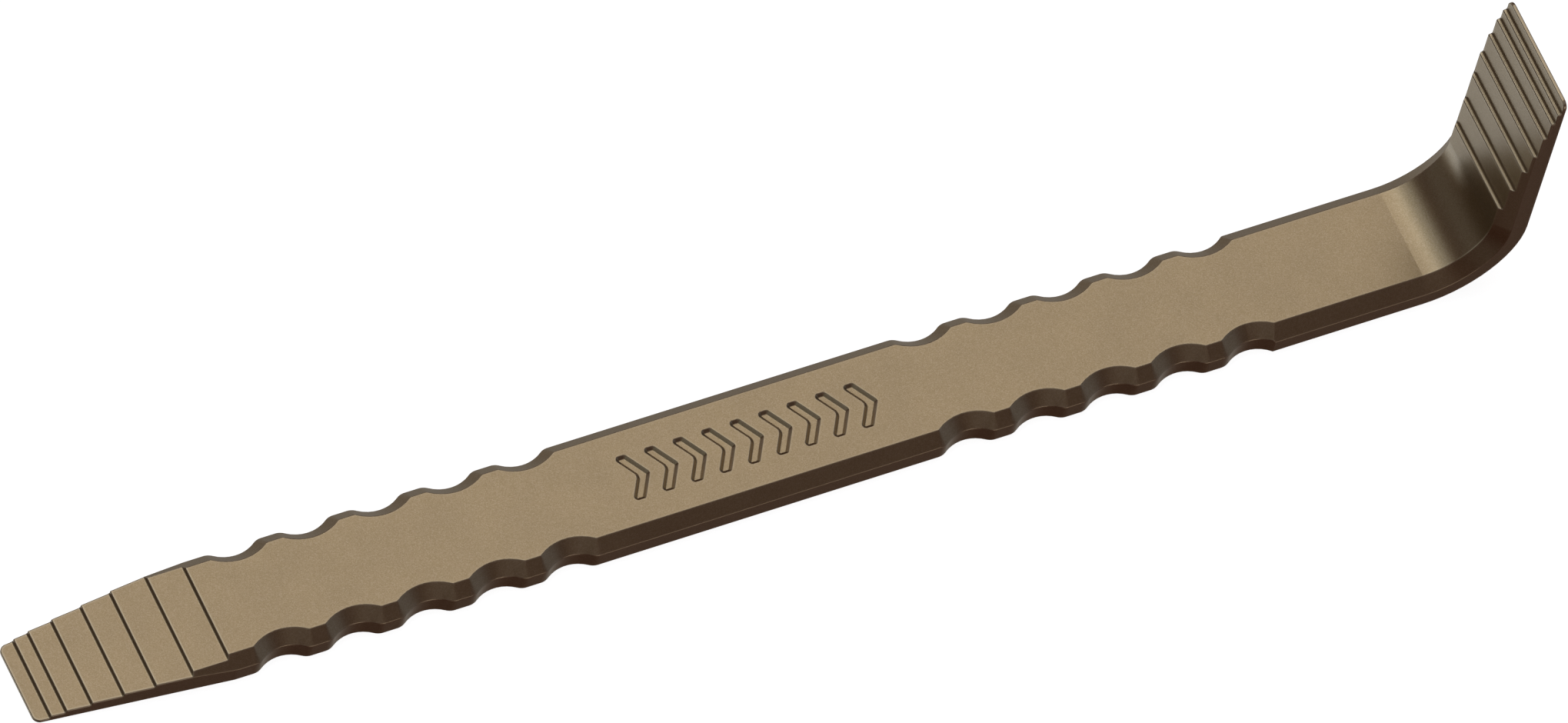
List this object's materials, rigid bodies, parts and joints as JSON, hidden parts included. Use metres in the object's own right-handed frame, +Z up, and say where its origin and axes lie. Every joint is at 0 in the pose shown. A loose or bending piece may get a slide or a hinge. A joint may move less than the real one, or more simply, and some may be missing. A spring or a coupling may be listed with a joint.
{
  "type": "pry bar",
  "caption": "One-piece flat pry bar with a stepped chisel blade, beveled finger-grooved grips and a stepped adze blade turned up at ninety degrees.",
  "frame": {"origin": "bottom centre of the whole bar: middle of its length and width, on its flat back", "axes": "+X along the bar from the chisel blade to the bend, +Y across the width, +Z up, the way the adze blade points"},
  "size_m": [0.3144, 0.0254, 0.0641],
  "materials": {
    "coated_steel": "satin dark-earth coating with a fine metallic grain"
  },
  "bodies": {
    "root": {"pry_bar": "coated_steel"}
  },
  "joints": []
}
